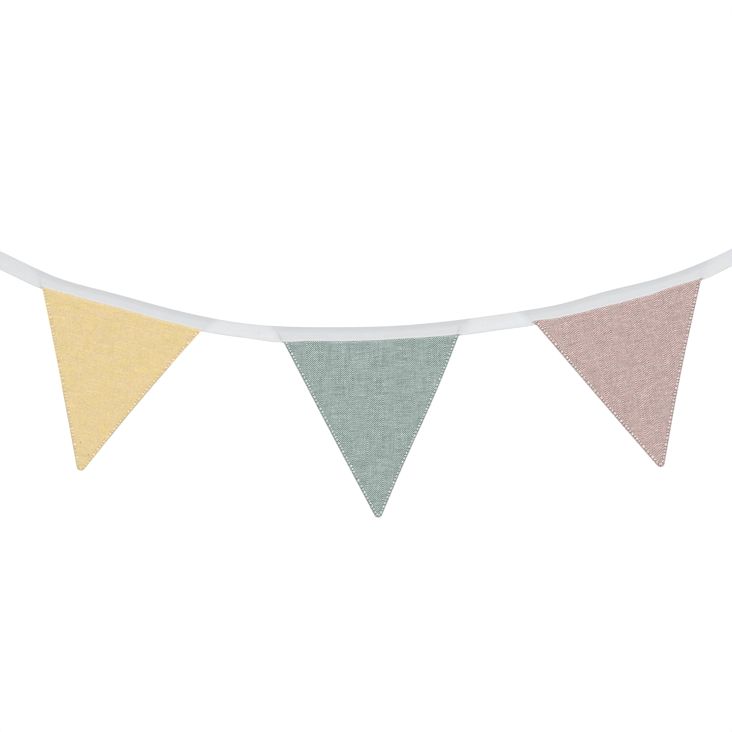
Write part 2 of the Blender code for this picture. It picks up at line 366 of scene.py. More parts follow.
def cloth_half(edge, holes=0.0):
    """Half of the pennant's thickness at a distance from its edge, with its needle holes."""
    rim = np.sqrt(1.0 - (1.0 - np.clip(edge / RIM, 0.0, 1.0)) ** 2)
    half = CLOTH_HALF + (SEAM_HALF - CLOTH_HALF) * (1.0 - smooth_step(SEAM_WIDTH - 0.9, SEAM_WIDTH, edge))
    half = half - 0.10 * bump(edge, PENNANT_SEAM, 0.4) - 0.16 * holes
    return half * rim


def gap_half(x, below, edge):
    """Half of the gap between the tape's leaves, which the pennant's tab holds open."""
    shut = GAP_FREE * smooth_step(0.6, 2.0, below)
    ruffle = 0.05 * np.sin(x / 2.3 + below / 5.0) * np.sin(x / 8.9) * smooth_step(-2.0, -6.0, edge)
    tab = (cloth_half(np.maximum(edge, RIM)) + SLACK) * smooth_step(-1.2, 0.35, edge)
    closed = shut + ruffle * smooth_step(0.6, 3.0, below)
    return 0.04 + np.maximum(closed, tab * smooth_step(1.2, 4.2, below))


def face_shift(x, below, edge):
    """Soft waves of the whole tape, to the front, where no pennant is in it."""
    wave = 0.16 * np.sin(x / 7.9 + 0.13 * below) + 0.10 * np.sin(x / 3.1 + 1.3 + 0.2 * below)
    return wave * smooth_step(1.0, 9.0, below) * smooth_step(-1.0, -7.0, edge)


def leaf_half(edge):
    """Half of a leaf's thickness at a distance from its lower edge, rounded and stitched down."""
    round_edge = np.sqrt(1.0 - (1.0 - np.clip(edge / LEAF_HALF, 0.0, 1.0)) ** 2)
    flat = 0.62 + 0.38 * smooth_step(0.2, 2.4, edge)
    return (LEAF_HALF * flat - 0.04 * bump(edge, TAPE_SEAM, 0.35)) * round_edge


def tape_face(x, below, side, outward=0.0):
    """Places on the tape's outer face, side 1 its front and -1 its back, and their normals."""
    place, along, front, down = hanging_frames(x)
    edge = tab_edge(place, down, below)
    half = leaf_half(leaf_width(FRONT_KNOTS if side > 0.0 else BACK_KNOTS, x) - below)
    to_front = side * (gap_half(x, below, edge) + 2.0 * half + outward)
    to_front = to_front + face_shift(x, below, edge)
    spot = place + front * to_front[..., None] + down * below[..., None]
    return spot, front * side


def new_mesh(name, points, faces, uv, values, material):
    """A smooth closed piece, its points in millimetres, with a UV map and named point values."""
    corners = points[np.array([face[:3] for face in faces])]
    volume = np.einsum("ij,ij->i", corners[:, 0], np.cross(corners[:, 1], corners[:, 2])).sum()
    if volume < 0.0:
        faces = [face[::-1] for face in faces]
    mesh = bpy.data.meshes.new(name)
    mesh.from_pydata((points * MM).tolist(), [], faces)
    loops = np.empty(len(mesh.loops), np.int32)
    mesh.loops.foreach_get("vertex_index", loops)
    mesh.uv_layers.new(name="Cloth").data.foreach_set("uv", uv[loops].astype(np.float32).ravel())
    for key, value in values.items():
        layer = mesh.attributes.new(key, "FLOAT", "POINT")
        layer.data.foreach_set("value", np.asarray(value, np.float32).ravel())
    mesh.shade_smooth()
    mesh.materials.append(material)
    piece = bpy.data.objects.new(name, mesh)
    bpy.context.scene.collection.objects.link(piece)
    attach(piece, "root")
    return piece


# Materials


def add(tree, kind, **inputs):
    """A node with its inputs set by name: a number, a colour or another node's output."""
    node = tree.nodes.new(kind)
    for name, value in inputs.items():
        key = name.replace("_", " ")
        if isinstance(value, bpy.types.NodeSocket):
            tree.links.new(value, node.inputs[key])
        else:
            node.inputs[key].default_value = value
    return node


def calc(tree, operation, *terms):
    node = tree.nodes.new("ShaderNodeMath")
    node.operation = operation
    for i, term in enumerate(terms):
        if isinstance(term, bpy.types.NodeSocket):
            tree.links.new(term, node.inputs[i])
        else:
            node.inputs[i].default_value = term
    return node.outputs[0]


def times(tree, first, second):
    return calc(tree, "MULTIPLY", first, second)


def remap(tree, value, low, high, to_low, to_high, smooth=False):
    node = tree.nodes.new("ShaderNodeMapRange")
    node.interpolation_type = "SMOOTHSTEP" if smooth else "LINEAR"
    tree.links.new(value, node.inputs[0])
    for i, number in enumerate((low, high, to_low, to_high), 1):
        if isinstance(number, bpy.types.NodeSocket):
            tree.links.new(number, node.inputs[i])
        else:
            node.inputs[i].default_value = number
    return node.outputs[0]


def blend_colours(tree, share, first, second):
    node = tree.nodes.new("ShaderNodeMix")
    node.data_type = "RGBA"
    for index, value in ((0, share), (6, first), (7, second)):
        if isinstance(value, bpy.types.NodeSocket):
            tree.links.new(value, node.inputs[index])
        else:
            node.inputs[index].default_value = value
    return node.outputs[2]


def scale_colour(tree, colour, factor):
    node = tree.nodes.new("ShaderNodeVectorMath")
    node.operation = "SCALE"
    tree.links.new(colour, node.inputs[0])
    tree.links.new(factor, node.inputs["Scale"])
    return node.outputs[0]


def noise(tree, x, y, turn, detail=2.0):
    """Noise between about 0.2 and 0.8 at a place given by two outputs, with a seed."""
    place = add(tree, "ShaderNodeCombineXYZ", X=x, Y=y, Z=turn)
    node = add(tree, "ShaderNodeTexNoise", Vector=place.outputs[0], Scale=1.0, Detail=detail)
    return node.outputs[0]


def random_tone(tree, x, y, turn, spread):
    """A factor about 1 that is drawn anew at each whole place, with a seed."""
    place = add(tree, "ShaderNodeCombineXYZ", X=x, Y=y, Z=turn)
    drawn = add(tree, "ShaderNodeTexWhiteNoise", Vector=place.outputs[0]).outputs[0]
    return remap(tree, drawn, 0.0, 1.0, 1.0 - spread, 1.0 + spread)


def darken_spots(tree, tone, x, y, spots, reach, darkest):
    """Darken the tone in small round spots, each at its own place."""
    for spot_x, spot_y in spots:
        away = calc(tree, "ADD", calc(tree, "POWER", calc(tree, "SUBTRACT", x, spot_x), 2.0),
                    calc(tree, "POWER", calc(tree, "SUBTRACT", y, spot_y), 2.0))
        tone = times(tree, tone, remap(tree, away, 0.0, reach, darkest, 1.0, True))
    return tone


def weave_place(weave, u, v):
    """Place on the cloth along its weft and its warp, which lie a little skew on the pennant."""
    turn, skew = math.radians(weave.turn), math.radians(weave.skew)
    return u * math.cos(turn) - v * math.sin(turn), u * math.sin(skew) + v * math.cos(skew)


def cloth_places(tree):
    uv = tree.nodes.new("ShaderNodeUVMap")
    uv.uv_map = "Cloth"
    split = add(tree, "ShaderNodeSeparateXYZ", Vector=uv.outputs[0])
    return split.outputs[0], split.outputs[1]


def point_value(tree, name):
    node = tree.nodes.new("ShaderNodeAttribute")
    node.attribute_name = name
    return node.outputs["Fac"]


def start_material(name, roughness):
    material = bpy.data.materials.new(name)
    material.use_nodes = True
    tree = material.node_tree
    shader = tree.nodes["Principled BSDF"]
    shader.inputs["Roughness"].default_value = roughness
    shader.inputs["Specular IOR Level"].default_value = 0.2
    shader.inputs["Sheen Weight"].default_value = 0.06
    shader.inputs["Sheen Roughness"].default_value = 0.5
    return material, tree, shader


def end_material(tree, shader, colour, height, distance, strength):
    tree.links.new(colour, shader.inputs["Base Color"])
    relief = add(tree, "ShaderNodeBump", Height=height, Distance=distance, Strength=strength)
    tree.links.new(relief.outputs[0], shader.inputs["Normal"])


# Herringbone: colours of the warp and the weft, the width of an end and a pick, where a column starts,
# how far the warp turns from the pennant's middle line and the weft from its top, in degrees, how
# much closer the picks lie towards the point, and how much they wander. Then how strongly the ribs
# show in one column and the next, how uneven the warp, the weft, the streaks, the single crossings
# and the specks are, the two tints that the dye takes in patches, and the seed of the noise. Last,
# the tone of the rolled rim, which is painted shade (on the yellow a painted highlight), the tone of
# the needle holes, which is painted shade, and the colour of the sewing thread with its tones at the
# left and at the right, the darker left one being painted shade.
Weave = namedtuple(
    "Weave",
    "warp weft end pick start turn skew closer wander bold plain warp_slub weft_slub streak grain knots "
    "tint hue seed rim hole thread thread_left thread_right",
)
ENDS = 32
WEAVES = {
    "yellow": Weave((0.802, 0.650, 0.399), (0.752, 0.591, 0.314), 0.383, 0.4167, 8.4, 3.6, 1.6,
                    0.0, 1.0, 0.8, 0.6, 0.05, 0.10, 0.045, 0.12, 0.04,
                    (1.0, 0.995, 0.80), (1.015, 0.975, 1.0), 3.0,
                    1.14, 0.6, (0.97, 0.83, 0.57), 0.93, 1.0),
    "green": Weave((0.598, 0.712, 0.675), (0.060, 0.094, 0.086), 0.400, 0.4167, -2.6, -2.9, 0.2,
                   0.0, 1.1, 1.0, 0.62, 0.18, 0.32, 0.12, 0.20, 0.05,
                   (1.0, 1.0, 1.0), (1.005, 1.0, 1.0), 7.0,
                   0.86, 0.15, (0.90, 0.99, 0.965), 0.82, 0.86),
    "pink": Weave((0.852, 0.686, 0.658), (0.184, 0.122, 0.107), 0.415, 0.461, 3.0, -4.2, -0.4,
                  0.00116, 0.5, 1.0, 0.72, 0.13, 0.22, 0.12, 0.26, 0.03,
                  (1.055, 0.965, 1.0), (1.0, 1.0, 0.965), 11.0,
                  0.87, 0.15, (0.99, 0.87, 0.845), 0.90, 0.94),
}


def herringbone(name, weave, flecks):
    """Two-up, two-down twill that turns back on itself at each column, with slubby yarns."""
    material, tree, shader = start_material(name, 0.92)
    across, along = cloth_places(tree)
    ends = calc(tree, "DIVIDE", calc(tree, "SUBTRACT", across, weave.start), weave.end)
    wander = noise(tree, times(tree, along, 0.06), times(tree, across, 0.02),
                   weave.seed + 80.0)
    picks = times(tree, along, calc(tree, "MULTIPLY_ADD", along, weave.closer, 1.0 / weave.pick))
    picks = calc(tree, "ADD", picks, remap(tree, wander, 0.25, 0.75, -weave.wander, weave.wander))
    zigzag = calc(tree, "PINGPONG", ends, float(ENDS))
    end = calc(tree, "FLOOR", zigzag)
    pick = calc(tree, "FLOOR", picks)
    step = calc(tree, "FRACT", times(tree, calc(tree, "SUBTRACT", pick, end), 0.25))
    warp_up = calc(tree, "LESS_THAN", step, 0.45)

    # each yarn is round, and arches over the two that it floats across
    warp_turn = times(tree, calc(tree, "SUBTRACT", picks, end), math.pi / 2.0)
    weft_turn = times(tree, calc(tree, "SUBTRACT", pick, zigzag), math.pi / 2.0)
    warp_arch = calc(tree, "ABSOLUTE", calc(tree, "SINE", warp_turn))
    weft_arch = calc(tree, "ABSOLUTE", calc(tree, "COSINE", weft_turn))
    warp_side = calc(tree, "SUBTRACT", calc(tree, "FRACT", ends), 0.5)
    weft_side = calc(tree, "SUBTRACT", calc(tree, "FRACT", picks), 0.5)
    warp_round = calc(tree, "MULTIPLY_ADD", times(tree, warp_side, warp_side), -3.2, 1.0)
    weft_round = calc(tree, "MULTIPLY_ADD", times(tree, weft_side, weft_side), -3.2, 1.0)
    warp_height = times(tree, remap(tree, warp_arch, 0.0, 1.0, 0.4, 1.0), warp_round)
    weft_height = times(tree, remap(tree, weft_arch, 0.0, 1.0, 0.4, 1.0), weft_round)
    height = remap(tree, warp_up, 0.0, 1.0, weft_height, warp_height)

    # every other column shows its ribs boldly, and the one beside it hardly does
    column = calc(tree, "FLOOR", calc(tree, "DIVIDE", ends, float(ENDS)))
    odd = calc(tree, "GREATER_THAN", calc(tree, "FRACT", times(tree, column, 0.5)), 0.25)
    bold = remap(tree, odd, 0.0, 1.0, weave.bold, weave.plain)
    seam = calc(tree, "ABSOLUTE", calc(tree, "SUBTRACT", calc(tree, "FRACT", calc(
        tree, "ADD", calc(tree, "DIVIDE", ends, float(ENDS)), 0.5)), 0.5))
    seam = calc(tree, "LESS_THAN", seam, 1.1 / ENDS)
    bold = calc(tree, "MAXIMUM", bold, seam)
    share = remap(tree, warp_up, 0.0, 1.0, -0.5, 0.5)
    share = calc(tree, "MULTIPLY_ADD", share, bold, 0.5)
    colour = blend_colours(tree, share, (*weave.weft, 1.0), (*weave.warp, 1.0))

    # slubs: yarns that run thicker and thinner, and take the dye unevenly
    warp_yarn = times(tree, calc(tree, "FLOOR", ends), 0.731)
    weft_yarn = times(tree, pick, 0.93)
    warp_slub = noise(tree, warp_yarn, times(tree, along, 0.04), weave.seed)
    weft_slub = noise(tree, times(tree, across, 0.055), weft_yarn, weave.seed + 20.0)
    streak = noise(tree, times(tree, across, 0.2), times(tree, along, 0.9),
                   weave.seed + 40.0, 3.0)
    tone = remap(tree, warp_slub, 0.25, 0.75, 1.0 - weave.warp_slub, 1.0 + weave.warp_slub)
    for drawn, spread in ((weft_slub, weave.weft_slub), (streak, weave.streak)):
        tone = calc(tree, "ADD", tone, remap(tree, drawn, 0.25, 0.75, -spread, spread))
    # painted shade where the yarns dip between one another
    tone = times(tree, tone, remap(tree, height, 0.0, 1.0, 0.88, 1.04))
    grain = random_tone(tree, calc(tree, "FLOOR", ends), pick, weave.seed, weave.grain)
    tone = times(tree, tone, grain)

    # specks two yarns wide, and dark flecks at their own places
    pair = calc(tree, "FLOOR", times(tree, ends, 0.5))
    pick_pair = calc(tree, "FLOOR", times(tree, picks, 0.5))
    specks = random_tone(tree, pair, pick_pair, weave.seed + 1.0, weave.knots)
    tone = times(tree, tone, specks)
    tone = darken_spots(tree, tone, across, along, flecks, FLECK_REACH, FLECK_TONE)

    # the painted shade of the rim (a painted highlight on the yellow) and the needle holes, the painted
    # shadow lines and the painted light on the strip by the tape, which the mesh carries
    tone = times(tree, tone, point_value(tree, "tone"))
    patch = noise(tree, times(tree, across, 0.11), times(tree, along, 0.11),
                  weave.seed + 60.0)
    patch = calc(tree, "ADD", times(tree, patch, 0.5), times(tree, weft_slub, 0.5))
    for place, tint in ((patch, weave.tint), (streak, weave.hue)):
        dyed = tree.nodes.new("ShaderNodeVectorMath")
        dyed.operation = "MULTIPLY"
        tree.links.new(colour, dyed.inputs[0])
        dyed.inputs[1].default_value = tint
        colour = blend_colours(tree, remap(tree, place, 0.40, 0.60, 0.0, 1.0), colour, dyed.outputs[0])
    end_material(tree, shader, scale_colour(tree, colour, tone), height, 0.00010, 0.6)
    return material


def tape_cotton(pins):
    """Fine plain-woven cotton, a little bluish, with faint slubs and two old pin holes."""
    material, tree, shader = start_material("tape_cotton", 0.9)
    along, across = cloth_places(tree)
    ends = times(tree, along, 2.0 * math.pi / 0.72)
    picks = times(tree, across, 2.0 * math.pi / 0.64)
    checks = times(tree, calc(tree, "SINE", ends), calc(tree, "SINE", picks))
    slub = noise(tree, times(tree, along, 0.12), times(tree, across, 1.6), 2.0)
    cloud = noise(tree, times(tree, along, 0.07), times(tree, across, 0.2), 5.0)
    # the checks of the weave, painted lighter and darker: painted shade of the yarns' relief
    tone = remap(tree, checks, -1.0, 1.0, 0.975, 1.015)
    tone = times(tree, tone, remap(tree, slub, 0.3, 0.7, 0.985, 1.01))
    tone = times(tree, tone, remap(tree, cloud, 0.3, 0.7, 0.985, 1.015))
    # the painted light and shade that the mesh carries
    tone = times(tree, tone, point_value(tree, "shade"))
    tone = darken_spots(tree, tone, along, across, pins, PIN_REACH, PIN_TONE)
    colour = blend_colours(tree, cloud, (0.735, 0.745, 0.76, 1.0), (0.725, 0.735, 0.755, 1.0))
    height = calc(tree, "MULTIPLY_ADD", checks, 0.35, slub)
    end_material(tree, shader, scale_colour(tree, colour, tone), height, 0.00006, 0.5)
    return material


def thread(name, colour):
    """Two-ply sewing thread: its plies turn round it, with painted shade between them."""
    material, tree, shader = start_material(name, 0.75)
    along, around = cloth_places(tree)
    turn = calc(tree, "ADD", times(tree, along, 2.2), around)
    ply = calc(tree, "ABSOLUTE", calc(tree, "SINE", times(tree, turn, 2.0 * math.pi)))
    fuzz = noise(tree, times(tree, along, 1.7), times(tree, around, 4.0), 9.0)
    # painted shade in the groove between the plies
    tone = times(tree, remap(tree, ply, 0.0, 1.0, 0.82, 1.03),
                remap(tree, fuzz, 0.3, 0.7, 0.94, 1.04))
    tone = times(tree, tone, point_value(tree, "tone"))
    first = blend_colours(tree, fuzz, (*colour, 1.0), (*[0.97 * c for c in colour], 1.0))
    end_material(tree, shader, scale_colour(tree, first, tone), ply, 0.00005, 0.6)
    return material


# Pieces


def seam_path(pennant, inset):
    """Places (u, v) along the line of stitches: down the left side, round the point and back up."""
    angle = outline_angle(pennant)
    centre = pennant.length - POINT_RADIUS
    radius = POINT_RADIUS - inset
    v = np.linspace(-0.9, centre + radius * math.sin(angle), 700)
    left = sides(pennant, v)[0] + inset / math.cos(angle)
    right = sides(pennant, v)[1] - inset / math.cos(angle)
    turn = np.linspace(angle, math.pi - angle, 40)[1:-1]
    middle = pennant.point_right * centre / pennant.length
    u_point = middle - radius * np.cos(turn)
    v_point = centre + radius * np.sin(turn)
    return np.concatenate((left, u_point, right[::-1])), np.concatenate((v, v_point, v[::-1]))


def along_path(points, pitch, shape=None, uneven=0.0):
    """Split a path into stitches of about one pitch, measured along it or along a path beside it."""
    measured = points if shape is None else shape
    steps = np.linalg.norm(np.diff(measured, axis=0), axis=1)
    run = np.concatenate(((0.0,), np.cumsum(steps)))
    holes = np.arange(0.0, run[-1], pitch)
    holes = holes + uneven * pitch * np.random.default_rng(HOLE_SEED).uniform(-1.0, 1.0, len(holes))
    return np.stack([np.interp(holes, run, points[:, i]) for i in range(points.shape[1])], -1)


def near_holes(pennant, u, v):
    """How near each place is to a needle hole, 1 at a hole. The left side's holes lie slanted."""
    share = np.zeros(u.shape)
    seam = np.stack(seam_path(pennant, PENNANT_SEAM), -1)
    line = np.stack(seam_path(pennant, HOLE_INSET), -1)
    for at, spot in zip(along_path(seam, pennant.pitch, uneven=UNEVEN),
                        along_path(line, pennant.pitch, shape=seam, uneven=UNEVEN)):
        turn = HOLE_TURNS[0] if at[0] < pennant.point_right * at[1] / pennant.length else HOLE_TURNS[1]
        long_way = (u - spot[0]) * math.cos(turn) + (v - spot[1]) * math.sin(turn)
        short_way = (v - spot[1]) * math.cos(turn) - (u - spot[0]) * math.sin(turn)
        near = np.exp(-(long_way / HOLE_LONG) ** 2 - (short_way / HOLE_SHORT) ** 2)
        share = np.maximum(share, near)
    return share


def pennant_columns(pennant, v):
    """The u of every column of the mesh, closer together beside the sides. v has one per column."""
    left, right = sides(pennant, v)
    width = right - left
    near = np.array(NEAR_EDGE) / math.cos(outline_angle(pennant))
    scale = np.minimum(1.0, width / (3.0 * near[-1]))
    count = len(near)
    u = np.empty(v.shape)
    for i in range(count):
        u[..., i] = left[..., i] + near[i] * scale[..., i]
        u[..., -1 - i] = right[..., -1 - i] - near[i] * scale[..., -1 - i]
    for i in range(INNER_COLUMNS):
        at = count + i
        part = (i + 1.0) / (INNER_COLUMNS + 1.0)
        band = near[-1] * scale[..., at]
        u[..., at] = left[..., at] + band + (width[..., at] - 2.0 * band) * part
    return u


def cloth_tone(pennant, u, v, edge, hole, below_tape_light):
    """Tone of the cloth, painted light and shade: painted shade on its rolled rim (a painted highlight on
    the yellow's), painted shade in its needle holes, thin painted shadow lines on its rim and painted light
    on the strip by the tape.
    """
    weave = WEAVES[pennant.name]
    # painted shade on the rolled rim, and a painted highlight where the rim's tone is above 1
    tone = 1.0 - (1.0 - weave.rim) * (1.0 - smooth_step(0.05, 1.0, edge))
    # painted shade in the needle holes, and painted light on the strip just below the tape
    tone = tone * (1.0 - (1.0 - weave.hole) * hole) * (1.0 + PAINTED_LIGHT_BELOW_TAPE * below_tape_light)
    at_left = u < pennant.point_right * v / pennant.length
    # painted shadow lines along parts of the rim
    for left, start, end, depth in RIM_SHADOW_LINES[pennant.name]:
        reach = smooth_step(start - 8.0, start, v) * (1.0 - smooth_step(end, end + 8.0, v))
        tone = tone * (1.0 - depth * reach * (at_left == left) * (1.0 - smooth_step(0.15, 0.7, edge)))
    return tone


def pennant_piece(pennant, material):
    """The turned-out pennant: two skins that meet along its rolled sides, round point and top."""
    angle = outline_angle(pennant)
    columns = 2 * len(NEAR_EDGE) + INNER_COLUMNS
    top = np.full(columns, -8.0)
    for _ in range(10):
        u = pennant_columns(pennant, top)
        top = top + TAB_BELOW_FOLD - place_on_tape(*front_view(pennant, u, top))[1]
    straight = pennant.length - POINT_RADIUS * (1.0 - math.sin(angle))
    parts = list(np.linspace(0.0, straight, ROWS) / pennant.length)
    for i in range(1, POINT_STEPS):
        turn = angle + (math.pi / 2.0 - angle) * i / POINT_STEPS
        parts.append(1.0 - POINT_RADIUS * (1.0 - math.sin(turn)) / pennant.length)
    parts = np.array(parts)[:, None]
    v = top + (pennant.length - top) * parts
    u = pennant_columns(pennant, v)
    tip_u, tip_v = pennant.point_right, pennant.length

    edge = np.maximum(0.0, edge_distance(pennant, u, v))
    edge[:, 0] = 0.0
    edge[:, -1] = 0.0
    hole = near_holes(pennant, u, v) * (edge < 3.5)
    half = cloth_half(edge, hole)
    half[0] = 0.0
    x, z = front_view(pennant, u, v)
    depth = pennant_depth(pennant, u, v)
    foot, below = place_on_tape(x, z)
    # the strip just below the tape's front leaf, which is painted paler as painted light
    below_tape_light = 1.0 - smooth_step(0.4, 2.4, below - leaf_width(FRONT_KNOTS, foot))

    rows = len(parts)
    front_at = np.arange(rows * columns).reshape(rows, columns)
    back_at = front_at.copy()
    inner = slice(1, -1)
    back_at[1:, inner] = rows * columns + np.arange((rows - 1) * (columns - 2)).reshape(rows - 1, -1)
    front = np.stack((x, depth - half, z), -1).reshape(-1, 3)
    back = np.stack((x, depth + half, z), -1)[1:, inner].reshape(-1, 3)
    tip_x, tip_z = front_view(pennant, tip_u, tip_v)
    tip = np.array([[tip_x, pennant_depth(pennant, np.array(tip_u), np.array(tip_v)), tip_z]])
    points = np.concatenate((front, back, tip))
    tip_at = len(points) - 1
    faces = []
    for at, flip in ((front_at, False), (back_at, True)):
        quads = np.stack((at[:-1, :-1], at[1:, :-1], at[1:, 1:], at[:-1, 1:]), -1).reshape(-1, 4)
        last = [(a, tip_at, b) for a, b in zip(at[-1], at[-1][1:])]
        both = quads.tolist() + [[int(i) for i in face] for face in last]
        faces += [face[::-1] for face in both] if flip else both

    tone = cloth_tone(pennant, u, v, edge, hole, below_tape_light)
    across, along, tone = [np.concatenate((value.ravel(), value[1:, inner].ravel(), (at_tip,)))
                           for value, at_tip in ((u, tip_u), (v, tip_v), (tone, 1.0))]
    uv = np.stack(weave_place(WEAVES[pennant.name], across, along), -1)
    return new_mesh("cloth_" + pennant.name, points, faces, uv, {"tone": tone}, material)


def turned_rings(place, along, front, down, outward):
    """Frames of the tape's end turned back behind it."""
    turns = list(math.pi * np.arange(1, HEM_STEPS + 1) / HEM_STEPS)
    rings = []
    for turn in turns:
        spot = place + along * (outward * HEM_RADIUS * math.sin(turn))
        spot = spot - front * (HEM_RADIUS * (1.0 - math.cos(turn)))
        way = along * math.cos(turn) - front * (outward * math.sin(turn))
        face = front * math.cos(turn) + along * (outward * math.sin(turn))
        rings.append((spot, way, face, down))
    spot, way, face, down = rings[-1]
    for part in np.linspace(0.0, 1.0, 13)[1:]:
        rings.append((spot - along * (outward * END_HEM * part), way, face, down))
    return rings


def section_stations(width):
    """Distances below the fold line along one leaf, from the fold to the lower edge."""
    fold = FOLD_RADIUS + LEAF_HALF
    upper = [fold + part * (width - LOWER_STATIONS[0] - fold) for part in UPPER_STATIONS]
    lower = [width - edge for edge in LOWER_STATIONS]
    return np.stack(upper + lower, -1)


def tape_shade(x, below, width, edge):
    """Tone of the tape, painted light and shade: painted shade over a pennant's tab with a painted
    highlight along its lower edge there, painted shade in the crease beside it, and painted shade along its
    fold and its free lower edge.
    """
    share = smooth_step(-7.5, 0.8, edge)
    rim = width - below
    # painted shade where the tape bulges over a tab, darkest near the fold, and a painted highlight along
    # its lower rim
    over = 0.854 + 0.068 * smooth_step(3.2, 5.5, below) + 0.075 * (1.0 - smooth_step(0.9, 2.0, rim))
    # painted shade near the fold and along the free lower edge
    free = 0.976 + 0.038 * smooth_step(1.5, 10.0, below)
    free = free * (1.0 - 0.22 * (1.0 - smooth_step(0.1, 0.7, rim)))
    # it is a little duller towards its two ends
    free = free * (0.945 + 0.055 * smooth_step(44.0, 58.0, x))
    free = free * (1.0 - 0.045 * smooth_step(588.0, 602.0, x))
    # painted shade in the creases beside the pennants' corners
    crease_shade = 0.0
    for corners, marks in zip(CORNERS, CREASE_SHADES):
        for corner, (depth, inside) in zip(corners, marks):
            crease_shade = crease_shade + depth * bump(x, corner, 7.0) * bump(edge, inside, 0.75)
    crease_shade = crease_shade * smooth_step(3.5, 7.0, below)
    # painted shade along the fold
    fold = 0.07 * (1.0 - smooth_step(0.2, 1.2, below)) + 0.035 * bump(below, 1.1, 0.45)
    return (share * over + (1.0 - share) * free) * (1.0 - fold) * (1.0 - crease_shade)


def tape_run(x):
    """Length of tape from the end of its left hem to a place along it."""
    x = np.linspace(TAPE_LEFT, x, 400)
    spots = np.stack((x, fold_back(x), fold_height(x)), -1)
    length = np.linalg.norm(np.diff(spots, axis=0), axis=1).sum()
    return float(END_HEM + HEM_STEPS * 2.0 * HEM_RADIUS * math.sin(math.pi / (2.0 * HEM_STEPS)) + length)


def tape_piece(material):
    """The folded tape, its cloth swept along the fold line, its two ends turned back as hems."""
    count = round((TAPE_RIGHT - TAPE_LEFT) / TAPE_STEP)
    fine = np.arange(-15, 8) * FINE_STEP
    beside = [corners[0] + fine for corners in CORNERS] + [corners[1] - fine for corners in CORNERS]
    x = np.unique(np.concatenate([np.linspace(TAPE_LEFT, TAPE_RIGHT, count + 1)] + beside))
    x = x[np.concatenate(((True,), np.diff(x) > 0.15))]
    place, along, front, down = hanging_frames(x)
    left = turned_rings(place[0], along[0], front[0], down[0], -1.0)[::-1]
    right = turned_rings(place[-1], along[-1], front[-1], down[-1], 1.0)
    spot = np.array([ring[0] for ring in left] + list(place) + [ring[0] for ring in right])
    face = np.array([ring[2] for ring in left] + list(front) + [ring[2] for ring in right])
    fall = np.array([ring[3] for ring in left] + list(down) + [ring[3] for ring in right])
    read = np.concatenate((np.full(len(left), x[0]), x, np.full(len(right), x[-1])))
    runs = np.concatenate(((0.0,), np.cumsum(np.linalg.norm(np.diff(spot, axis=0), axis=1))))

    # one ring: the back leaf from its lower edge up, round the fold, and the front leaf down
    turn = np.linspace(math.pi, 0.0, FOLD_STEPS + 1)[1:-1]
    top = FOLD_RADIUS + LEAF_HALF
    ones = np.ones((len(read), 1))
    centre, deep, thick, width, edges = [], [], [], [], []
    for side, knots in ((-1.0, BACK_KNOTS), (1.0, FRONT_KNOTS)):
        leaf = leaf_width(knots, read)
        below = section_stations(leaf)[:, ::int(side)]
        read_wide = np.broadcast_to(read[:, None], below.shape)
        edge = tab_edge(spot[:, None], fall[:, None], below)
        half = leaf_half(leaf[:, None] - below)
        centre.append(face_shift(read_wide, below, edge) + side * (gap_half(read_wide, below, edge) + half))
        deep.append(below)
        thick.append(half)
        width.append(np.broadcast_to(leaf[:, None], below.shape))
        edges.append(edge)
    arc = (len(read), len(turn))
    centre.insert(1, ones * FOLD_RADIUS * np.cos(turn))
    deep.insert(1, ones * (top - FOLD_RADIUS * np.sin(turn)))
    thick.insert(1, np.full(arc, LEAF_HALF))
    width.insert(1, np.broadcast_to(leaf[:, None], arc))
    edges.insert(1, np.broadcast_to(edges[1][:, :1], arc))
    leaves = np.ones(centre[0].shape)
    centre, deep, thick, width, edges = [
        np.concatenate(parts, 1) for parts in (centre, deep, thick, width, edges)
    ]
    normal_front = np.concatenate((-leaves, ones * np.cos(turn), leaves), 1)
    normal_deep = np.concatenate((0.0 * leaves, -ones * np.sin(turn), 0.0 * leaves), 1)
    inner = slice(1, -1)
    outer = np.stack((centre + normal_front * thick, deep + normal_deep * thick), -1)
    within = np.stack((centre - normal_front * thick, deep - normal_deep * thick), -1)[:, inner][:, ::-1]
    loop = np.concatenate((outer, within), 1)
    points = spot[:, None] + face[:, None] * loop[..., :1] + fall[:, None] * loop[..., 1:]

    rings, around = loop.shape[:2]
    at = np.arange(rings * around).reshape(rings, around)
    nexts = np.roll(at, -1, 1)
    faces = np.stack((at[:-1], nexts[:-1], nexts[1:], at[1:]), -1).reshape(-1, 4).tolist()
    stations = outer.shape[1]
    for ring, flip in ((at[0], True), (at[-1], False)):
        outside = [int(i) for i in ring[:stations]]
        inside = [outside[0]] + [int(i) for i in ring[stations:][::-1]] + [outside[-1]]
        for i in range(stations - 1):
            cap = [outside[i], outside[i + 1], inside[i + 1], inside[i]]
            cap = [a for n, a in enumerate(cap) if a not in cap[:n]]
            faces.append(cap[::-1] if flip else cap)

    # the cloth's own coordinates: along the tape, and down its front or, below zero, its back
    signed = normal_front * np.where(normal_deep < 0.0, top, deep)
    tone = tape_shade(np.broadcast_to(read[:, None], deep.shape), deep, width, edges)
    signed, tone = [np.concatenate((value, value[:, inner][:, ::-1]), 1) for value in (signed, tone)]
    uv = np.stack((np.broadcast_to(runs[:, None], signed.shape).ravel(), signed.ravel()), -1)
    return new_mesh("tape", points.reshape(-1, 3), faces, uv, {"shade": tone.ravel()}, material)


